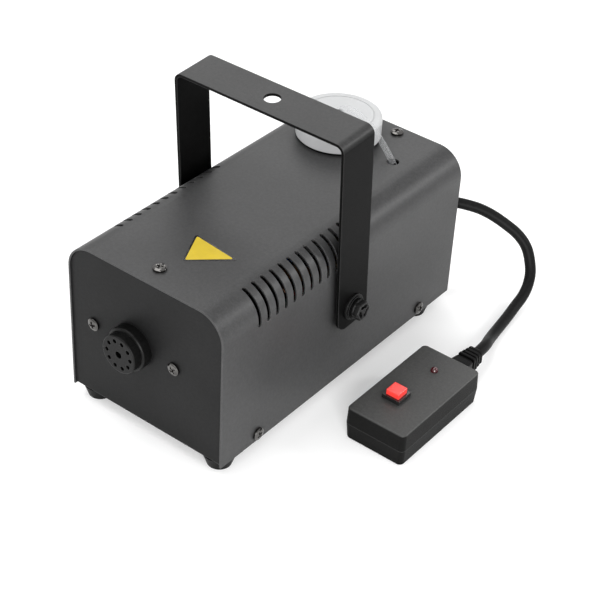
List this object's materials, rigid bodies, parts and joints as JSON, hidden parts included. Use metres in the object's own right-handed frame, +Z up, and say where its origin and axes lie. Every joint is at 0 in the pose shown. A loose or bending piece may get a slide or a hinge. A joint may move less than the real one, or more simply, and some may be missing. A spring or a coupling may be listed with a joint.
{
  "type": "fog machine",
  "caption": "Small box-shaped fog machine: slotted steel cover, hanging bracket with clamp knobs, fluid tank with lift-off cap, front nozzle, and a wired push-button remote.",
  "frame": {"origin": "centre of the underside of the base plate; the rubber feet stand 9 mm below it", "axes": "+X to the right seen from the front, -Y out of the nozzle, +Z up"},
  "size_m": [0.2142, 0.31, 0.1946],
  "materials": {
    "black_coat": "fine black powder coat, satin",
    "nickel": "bright nickel plate",
    "zinc_steel": "zinc plated",
    "bare_steel": "satin",
    "cast_aluminium": "as cast",
    "black_metal": "black oxide, satin",
    "black_plastic": "moulded, fine texture",
    "gloss_black": "moulded, gloss",
    "black_rubber": "matt",
    "clear_white": "translucent moulded polythene",
    "clear_tube": "clear vinyl",
    "sticker_yellow": "printed film",
    "glass_wool": "needled fibre",
    "circuit_green": "solder resist",
    "blue_plastic": "moulded",
    "green_plastic": "moulded",
    "copper_coil": "taped winding",
    "brass": "turned",
    "copper": "drawn",
    "red_wire": "sleeving",
    "red_button": "moulded",
    "dark_red_lens": "clear tinted lens",
    "fuse_glass": "clear"
  },
  "bodies": {
    "housing": {"top_cover": "black_coat", "chassis": "black_coat", "case_screws": "nickel", "rubber_feet": "black_rubber", "foot_screws": "zinc_steel", "warning_sticker": "sticker_yellow", "nozzle": "black_metal", "nozzle_collar": "black_metal", "heater_block": "cast_aluminium", "heating_element": "bare_steel", "heater_shield": "zinc_steel", "heater_insulation": "glass_wool", "thermostat": "zinc_steel", "thermal_fuse": "bare_steel", "tank_bottle": "clear_white", "tank_gasket": "black_rubber", "suction_tube": "clear_tube", "feed_hose": "clear_tube", "pressure_pipe": "copper", "pump_barrel": "brass", "pump_coil": "copper_coil", "pump_frame": "zinc_steel", "pump_spring": "bare_steel", "control_board": "circuit_green", "board_standoffs": "brass", "board_screws": "zinc_steel", "relay": "blue_plastic", "terminal_block": "green_plastic", "transformer": "copper_coil", "receiver_module": "circuit_green", "internal_wiring": "red_wire", "mains_inlet": "black_plastic", "switch_body": "gloss_black", "fuse_holder": "black_plastic", "remote_socket": "black_plastic", "fibre_washers": "black_rubber", "pivot_nuts": "zinc_steel"},
    "tank_cap": {"tank_lid": "clear_white", "pickup_tube": "clear_tube", "intake_filter": "bare_steel"},
    "bracket": {"bracket": "black_coat", "knob_washers": "black_metal"},
    "right_knob": {"knob_right": "black_plastic", "stud_right": "zinc_steel"},
    "left_knob": {"knob_left": "black_plastic", "stud_left": "zinc_steel"},
    "plunger": {"pump_plunger": "bare_steel"},
    "rocker": {"switch_rocker": "red_button"},
    "fuse_carrier": {"fuse_cap": "black_plastic", "fuse_link": "fuse_glass"},
    "remote": {"remote_upper_shell": "black_plastic", "remote_lower_shell": "black_plastic", "remote_screws": "zinc_steel", "remote_board": "circuit_green", "button_bezel": "gloss_black", "remote_light": "dark_red_lens", "strain_relief": "black_rubber", "remote_cable": "black_rubber", "cable_plug": "black_rubber"},
    "button": {"remote_button": "red_button"}
  },
  "joints": [
    {"name": "bracket_tilt", "type": "hinge", "parent": "housing", "child": "bracket", "pos_m": [0, 0, 0.057], "axis": [1, 0, 0], "range_deg": [-30, 50]},
    {"name": "right_knob_turn", "type": "hinge", "parent": "bracket", "child": "right_knob", "pos_m": [0, 0, 0.057], "axis": [1, 0, 0], "range_deg": [-180, 180]},
    {"name": "left_knob_turn", "type": "hinge", "parent": "bracket", "child": "left_knob", "pos_m": [0, 0, 0.057], "axis": [-1, 0, 0], "range_deg": [-180, 180]},
    {"name": "lid_lift", "type": "slide", "parent": "housing", "child": "tank_cap", "axis": [0, 0, 1], "range_m": [0, 0.025], "deforming": ["suction_tube"]},
    {"name": "plunger_stroke", "type": "slide", "parent": "housing", "child": "plunger", "axis": [0, 0, 1], "range_m": [-0.001, 0.003], "stiffness_N_per_m": 400, "deforming": ["pump_spring"]},
    {"name": "switch_rock", "type": "hinge", "parent": "housing", "child": "rocker", "pos_m": [0.03, 0.119, 0.09], "axis": [1, 0, 0], "range_deg": [-9, 9]},
    {"name": "fuse_pull", "type": "slide", "parent": "housing", "child": "fuse_carrier", "axis": [0, 1, 0], "range_m": [0, 0.03]},
    {"name": "remote_unplug", "type": "slide", "parent": "housing", "child": "remote", "axis": [0, 1, 0], "range_m": [0, 0.02]},
    {"name": "button_press", "type": "slide", "parent": "remote", "child": "button", "axis": [0, 0, -1], "range_m": [0, 0.002], "stiffness_N_per_m": 800}
  ]
}
